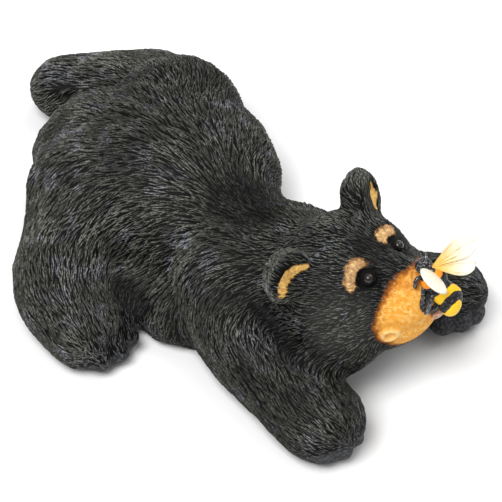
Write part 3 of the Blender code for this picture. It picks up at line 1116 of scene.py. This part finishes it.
def lid_ring(side, radius, lid):
    """A ring of lid round the eye, facing the way that the eye looks."""
    shell = bmesh.new()
    ring = bmesh.ops.create_circle(shell, segments=10, radius=lid)["verts"]
    bmesh.ops.translate(shell, verts=ring, vec=(radius + 0.1, 0, 0))
    bmesh.ops.rotate(shell, verts=ring, matrix=Matrix.Rotation(math.radians(90), 3, "X"))
    bmesh.ops.spin(
        shell, geom=shell.verts[:] + shell.edges[:], cent=(0, 0, 0), axis=(0, 0, 1),
        angle=math.tau, steps=28, use_merge=True,
    )
    bmesh.ops.remove_doubles(shell, verts=shell.verts, dist=0.001)
    bmesh.ops.scale(shell, verts=shell.verts, vec=(1.05, 0.92, 1))
    looks = Vector((side * 0.42, -0.75, 0.42)).to_track_quat("Z", "Y").to_matrix().to_4x4()
    middle = Vector((side * EYE[0], EYE[1], EYE[2])) + looks.to_3x3() @ Vector((0, 0, 0.2))
    bmesh.ops.transform(shell, verts=shell.verts, matrix=HEAD @ Matrix.Translation(middle) @ looks)
    return shell


for side, label, radius, lid in EYES:
    bead = form_ball((side * EYE[0], EYE[1], EYE[2]), (radius,) * 3, HEAD)
    as_piece(bead, "eye_" + label, GLOSS)
    as_piece(lid_ring(side, radius, lid), "lid_" + label, LID_BLACK)
    print("the", label, "eye is", 2 * radius, "mm across")

# %% Make the nose
NOSE = (0, -36.7, -3.0)
# The dents of a nostril: aside, ahead of the nose's middle, up, radius and depth
NOSTRIL = ((2.9, 3.4, -3.6, 2.0, 1.5), (5.3, 2.0, -4.4, 1.6, 0.8))
NOSE_COLOURS = ((0.010, 0.010, 0.011), (0.13, 0.13, 0.14))
LIP_COLOURS = ((0.40, 0.20, 0.12), (0.74, 0.46, 0.33))


def nose_pad():
    """The pad with two nostrils and, below them, a groove of six small dents."""
    shell = form_ball(NOSE, (6.2, 3.7, 5.1), HEAD, 5)
    shell.normal_update()
    dents = [(side * aside, *rest) for side in (-1, 1) for aside, *rest in NOSTRIL]
    dents += [(0, 3.6, -5 - drop * 0.6, 0.9, 0.35) for drop in range(6)]
    for aside, ahead, up, radius, depth in dents:
        push_in(shell, HEAD @ Vector((aside, NOSE[1] - ahead, up)), radius * MM, depth * MM)
    return shell


hide = worn_paint("dark_hide", (0.35, 0.1, 0.3), (0.8, 3.0), (0.45, 0.8), NOSE_COLOURS, (1.4, 0.15))
as_piece(nose_pad(), "nose", hide)
lip = form_ball((1.1, -37.0, -9.3), (4.4, 2.2, 1.6), HEAD)
lip_paint = worn_paint("lip_paint", (0.4, 0.2, 0.5), (0.7, 3.0), (0.35, 0.7), LIP_COLOURS, (1.0, 0.1))
as_piece(lip, "lip", lip_paint)
print("nose and lip are in place")

# %% [markdown]
# ## The bee
#
# The bee is a casting of its own, painted in bright enamel. It has its own frame too,
# with minus Y towards its head and Z out of its back. Head, thorax and abdomen are
# spheres pulled to shape, and each point keeps how far along the bee it is, so that
# one ramp of hard colour stops can paint every band.

# %% Model the bee's body
BEE = frame_at((-9.4, -86.7, 55.1), 177, 53)
# Where each band starts along the bee, and its colour
BANDS = (
    (-20.0, (0.012, 0.012, 0.013)),
    (-2.9, (0.88, 0.27, 0.01)),
    (0.0, (0.010, 0.010, 0.011)),
    (5.0, (0.96, 0.55, 0.008)),
    (8.2, (0.013, 0.012, 0.013)),
    (11.5, (0.96, 0.58, 0.012)),
)
# How the abdomen bends: along the bee, then aside and up
BEND = ((3.5, -1.2, 0.6), (8.0, -2.4, 1.4), (11.4, -1.3, 1.6), (14.2, -0.9, 1.3))
# How far a band shifts along the bee for each millimetre to the far side, to the near
# side and up, at places along the bee
FAR_SLANT = ((0, -0.3), (4, 0.1), (8, 0.35), (12, 0.6))
NEAR_SLANT = ((1, -0.25), (5, 0))
BAND_LIFT = ((1, 0), (5, 0.55))


def bee_paint():
    material, tree, shader = painted("bee_paint", 0.38, 0.05, 0.15)
    along = value_of(tree, "along")
    wobble = times(tree, maths(tree, "SUBTRACT", speckle(tree, 2.0 * MM), 0.5), 1.2)
    place = plus(tree, along, wobble)
    colour = BANDS[0][1]
    for start, paint in BANDS[1:]:
        over = stretch(tree, place, start - 0.12, start + 0.12)
        colour = blend(tree, over, colour, paint)
    # Grey dry brush over the enamel, with more on the head, where it is partly a painted highlight
    dry = stretch(tree, speckle(tree, 0.7 * MM, 3.0), 0.5, 0.72)
    crown = times(tree, stretch(tree, along, -2.8, -3.8), 0.55)
    worn = blend(tree, times(tree, dry, plus(tree, crown, 0.25)), colour, (0.40, 0.40, 0.43))
    tree.links.new(worn, shader.inputs["Base Color"])
    add_bump(tree, shader, use_group(tree, GRAIN, Coarse=1.0), 0.12 * MM)
    return material


BEE_PAINT = bee_paint()


def bee_segment(name, centre, radii, waists=(), bend=None):
    shell = form_ball(centre, radii, Matrix.Identity(4), 5)
    along = []
    for vertex in shell.verts:
        x, y, z = vertex.co - Vector((0, 0, centre[2]))
        slant = read_off(FAR_SLANT if x < 0 else NEAR_SLANT, y)
        along.append(y + slant * x + read_off(BAND_LIFT, y) * max(z, 0))
        pinch = 1 - 0.06 * sum(math.exp(-(((along[-1] - waist) / 0.5) ** 2)) for waist in waists)
        vertex.co = Vector((x * pinch, y, z * pinch + centre[2]))
        if bend:
            places, aside, up = np.array(bend).T
            vertex.co += Vector((np.interp(y, places, aside), 0, np.interp(y, places, up)))
    bmesh.ops.transform(shell, verts=shell.verts, matrix=BEE)
    piece = as_piece(shell, name, BEE_PAINT)
    set_values(piece.data, "along", along)
    return piece


abdomen = bee_segment("bee_abdomen", (0, 7.1, 0), (4.85, 7.2, 4.7), (5.0, 8.2, 11.5), BEND)
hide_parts("bee")
bee_segment("bee_thorax", (-1.1, 0, 0), (5.1, 4.6, 3.9), (-2.9, 0.0))
bee_segment("bee_head", (0, -6.0, -0.4), (3.1, 2.8, 2.8))
print("the bee's body has", len(BANDS), "bands")

# %% [markdown]
# ## Wings
#
# Each wing is a blade: a grid that is drawn in to its root, rounded at its tip and
# slightly cupped, then given a wall. Two numbers stay on each point, how far out it is
# and how far across, and the paint fans the veins out from the root with them.

# %% Model the wings
WING_WALL = 0.9
# Shares of a wing's breadth: how wide its root is and how high it is cupped
WING_STEM = 0.02
WING_CUP = 0.05
WING_BLUNTNESS = 0.52


def wing_paint():
    material, tree, shader = painted("wing_paint", 0.38, 0.2)
    reach, across = value_of(tree, "reach"), value_of(tree, "across")
    cream = blend(tree, stretch(tree, reach, 0.1, 0.85), (0.93, 0.55, 0.09), (0.92, 0.87, 0.72))
    fan = plus(tree, times(tree, across, 19.0), times(tree, speckle(tree, 3 * MM), 3.0))
    line = stretch(tree, maths(tree, "SINE", fan), 0.80, 0.99)
    fade = times(tree, line, stretch(tree, speckle(tree, 2.2 * MM), 0.46, 0.6))
    inner = times(tree, fade, stretch(tree, reach, 0.85, 0.55))
    veined = blend(tree, times(tree, inner, 0.55), cream, (0.55, 0.30, 0.05))
    tree.links.new(veined, shader.inputs["Base Color"])
    add_bump(tree, shader, maths(tree, "SUBTRACT", use_group(tree, GRAIN, Coarse=0.5), line), 0.12 * MM)
    return material


WING_PAINT = wing_paint()


def wing(name, root, tip, breadth, facing, swell, painted_highlight_share=0.0):
    """One blade, widest near its tip if it swells, and paled by a share of painted highlight."""
    along = tip - root
    forward = along.normalized()
    across = facing.cross(forward).normalized()
    upward = forward.cross(across)
    shell = bmesh.new()
    bmesh.ops.create_grid(shell, x_segments=18, y_segments=12, size=1.0)
    reach, sides = [], []
    for vertex in shell.verts:
        out, over = (vertex.co.x + 1) / 2, vertex.co.y
        full = max(0.0, math.sin(math.pi * out ** swell)) ** WING_BLUNTNESS
        half = breadth / 2 * (WING_STEM + (1 - WING_STEM) * full)
        cup = WING_CUP * breadth * (1 - over * over) * math.sin(math.pi * out)
        vertex.co = root + along * out * 1.03 + across * over * half + upward * cup
    bmesh.ops.solidify(shell, geom=shell.verts[:] + shell.edges[:] + shell.faces[:], thickness=WING_WALL)
    for vertex in shell.verts:
        local = vertex.co - root
        out = local.dot(forward) / along.length
        reach.append(painted_highlight_share + (1 - painted_highlight_share) * out)
        sides.append(math.atan2(local.dot(across), max(0.8, local.dot(forward))))
    bmesh.ops.transform(shell, verts=shell.verts, matrix=BEE)
    piece = as_piece(shell, name, WING_PAINT)
    set_values(piece.data, "reach", reach)
    set_values(piece.data, "across", sides)


NEAR_ROOT, NEAR_TIP = Vector((-0.85, -1.0, 3.6)), Vector((8.6, -3.9, 10.3))
FAR_ROOT = Vector((-1.3, -4.5, 1.8))
FAR_FORE, FAR_HIND = Vector((-14.5, -6.5, 11.2)), Vector((-11.9, 0.7, 10.0))
FAR_FACING = (FAR_FORE - FAR_ROOT).cross(FAR_HIND - FAR_ROOT)
NEAR_FACING = Vector((-0.57, -0.4, 0.71))
# The near wing is painted paler than the far ones, as a painted highlight
wing("bee_wing_near", NEAR_ROOT, NEAR_TIP, 11.4, NEAR_FACING, 1.0, 0.75)
wing("bee_wing_far_fore", FAR_ROOT, FAR_FORE, 7.8, FAR_FACING, 2.2)
wing("bee_wing_far_hind", FAR_ROOT, FAR_HIND, 7.8, FAR_FACING, 1.9)
print("the wings are on")

# %% [markdown]
# ## Legs and feelers
#
# Legs are thin round rods with a knee. A curve with a bevel makes such a rod from three
# points, thinner towards its foot, and it is then made a mesh like the other pieces.

# %% Model legs and feelers
LEG_COLOURS = ((0.008, 0.008, 0.009), (0.14, 0.14, 0.155))
ENAMEL = worn_paint("enamel_black", (0.25, 0.5, 0.5), (0.8, 2.0), (0.48, 0.66), LEG_COLOURS)


def rod(name, stations):
    """A round rod through stations of (centre, radius) in the bee's frame."""
    curve = bpy.data.curves.new(name, "CURVE")
    curve.dimensions = "3D"
    curve.bevel_depth = MM
    curve.bevel_resolution = 3
    curve.use_fill_caps = True
    line = curve.splines.new("NURBS")
    line.points.add(len(stations) - 1)
    line.use_endpoint_u = True
    line.order_u = 3
    line.resolution_u = 8
    for point, (centre, radius) in zip(line.points, stations):
        point.co = (*(BEE @ Vector(centre)), 1.0)
        point.radius = radius
    guide = in_scene(name, curve)
    shell = shell_of(bpy.data.meshes.new_from_object(evaluated(guide)))
    bpy.data.objects.remove(guide)
    bmesh.ops.remove_doubles(shell, verts=shell.verts, dist=0.01 * MM)
    as_piece(shell, name, ENAMEL)


# Each leg's hip, knee and foot
BEE_LEGS = (
    ((-2.2, -2.6, -1.5), (-4.6, -4.0, -1.5), (-5.4, -2.5, -6.0)),
    ((-2.4, 0.0, -1.5), (-5.0, 0.5, -1.2), (-5.6, 1.0, -6.0)),
    ((-3.5, 4.0, -1.0), (-6.4, 5.0, -1.5), (-6.8, 7.0, -6.0)),
    ((2.2, -2.6, -1.5), (4.4, -4.0, -1.8), (5.1, -0.5, -3.3)),
    ((2.4, 0.3, -1.5), (4.8, 2.6, -1.9), (4.9, 6.0, -3.1)),
    ((2.6, 4.0, 0.4), (4.9, 6.0, 0.4), (5.8, 9.4, -3.6)),
)

for number, (hip, knee, foot) in enumerate(BEE_LEGS, 1):
    rod(f"bee_leg_{number}", ((hip, 0.9), (knee, 0.85), (foot, 0.7)))
for side, label in ((1, "near"), (-1, "far")):
    rod(f"bee_feeler_{label}", (
        ((side, -7.6, 0.8), 0.55),
        ((side * 1.9, -8.8, 1.0), 0.5),
        ((side * 2.3, -9.4, 0.2), 0.5),
    ))
print("six legs and two feelers are on")

# %% [markdown]
# ## Floor and light
#
# The figurine lies on a pale matt floor in soft light: a large lamp that is higher than
# the camera and on its side, a weaker one from the far side, and a bright even sky.

# %% Build the floor and the lights
def pale_floor():
    material, tree, shader = painted("pale_floor", 0.9)
    tone = speckle(tree, 60 * MM, 2.0)
    tree.links.new(blend(tree, tone, (0.86, 0.86, 0.86), (0.90, 0.90, 0.90)), shader.inputs["Base Color"])
    shell = bmesh.new()
    bmesh.ops.create_grid(shell, x_segments=1, y_segments=1, size=3.0)
    mesh = close_shell(shell, bpy.data.meshes.new("floor"))
    mesh.materials.append(material)
    return in_scene("floor", mesh)


def soft_lamp(name, place, side, power):
    lamp = bpy.data.lights.new(name, "AREA")
    lamp.shape = "SQUARE"
    lamp.size = side
    lamp.energy = power
    holder = in_scene(name, lamp)
    holder.location = place
    holder.rotation_euler = (-Vector(place)).to_track_quat("-Z", "Y").to_euler()


pale_floor()
soft_lamp("key", (-0.5, -0.05, 1.0), 0.6, 12)
soft_lamp("fill", (0.6, -0.1, 0.8), 0.8, 4)
sky = bpy.data.worlds.new("sky")
sky.use_nodes = True
sky.node_tree.nodes["Background"].inputs["Color"].default_value = (1, 1, 1, 1)
sky.node_tree.nodes["Background"].inputs["Strength"].default_value = 0.5
bpy.context.scene.world = sky
bpy.context.scene.view_settings.view_transform = "Standard"
print("the studio is lit")
